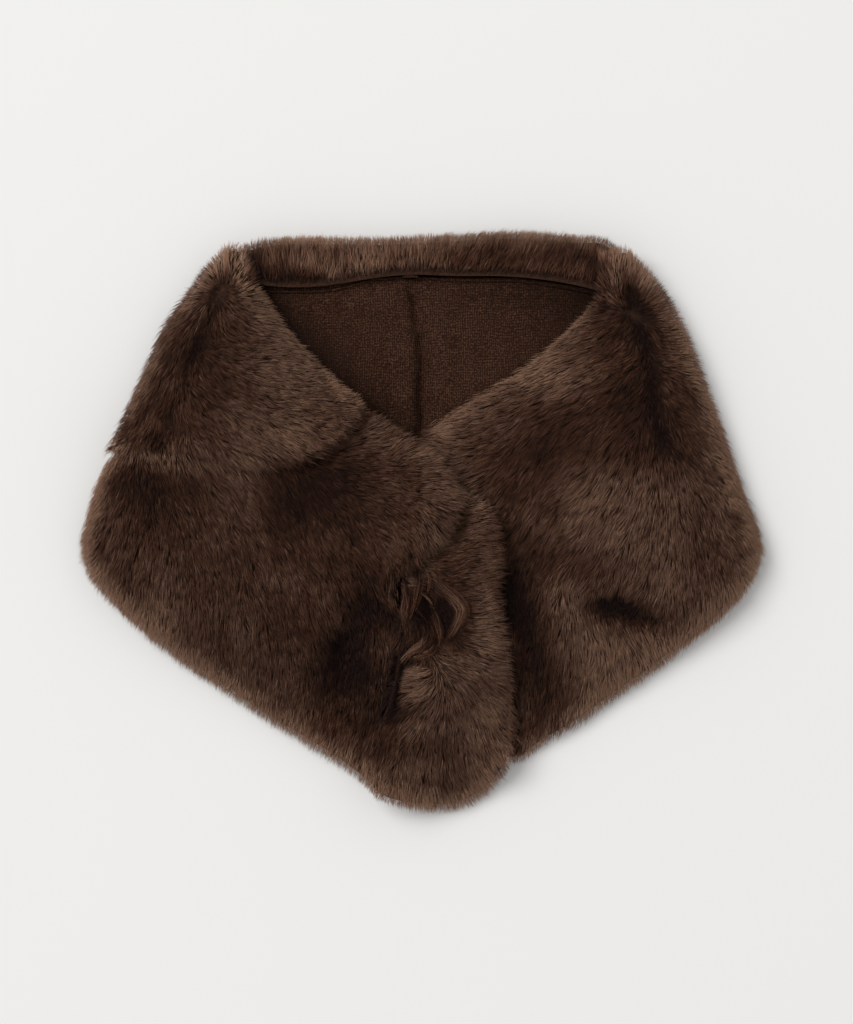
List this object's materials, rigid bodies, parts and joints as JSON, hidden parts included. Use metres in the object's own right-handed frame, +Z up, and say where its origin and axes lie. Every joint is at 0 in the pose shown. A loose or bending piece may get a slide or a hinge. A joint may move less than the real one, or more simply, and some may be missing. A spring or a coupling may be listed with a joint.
{
  "type": "fur collar wrap",
  "caption": "Fur collar wrap laid flat: fronts crossed over the back, one end pulled through a slit in the other, knit lining at the neck.",
  "frame": {"origin": "middle of the footprint, on the surface that the wrap lies on", "axes": "+X to the right of the wrap as it is looked down on, along its longest extent; +Y towards its neck edge; +Z up, off the surface"},
  "size_m": [0.3992, 0.339, 0.0489],
  "materials": {
    "brown_fur": "dense dark brown fur pile about 15 mm long, soft sheen along the hairs, darker towards the skin",
    "knit_lining": "matt dark brown fine rib knit"
  },
  "bodies": {
    "root": {"back_panel": "brown_fur", "back_lining": "knit_lining", "neck_turnover": "brown_fur", "right_front": "brown_fur", "pulled_end": "brown_fur", "left_front": "brown_fur", "left_shoulder": "brown_fur"}
  },
  "joints": []
}
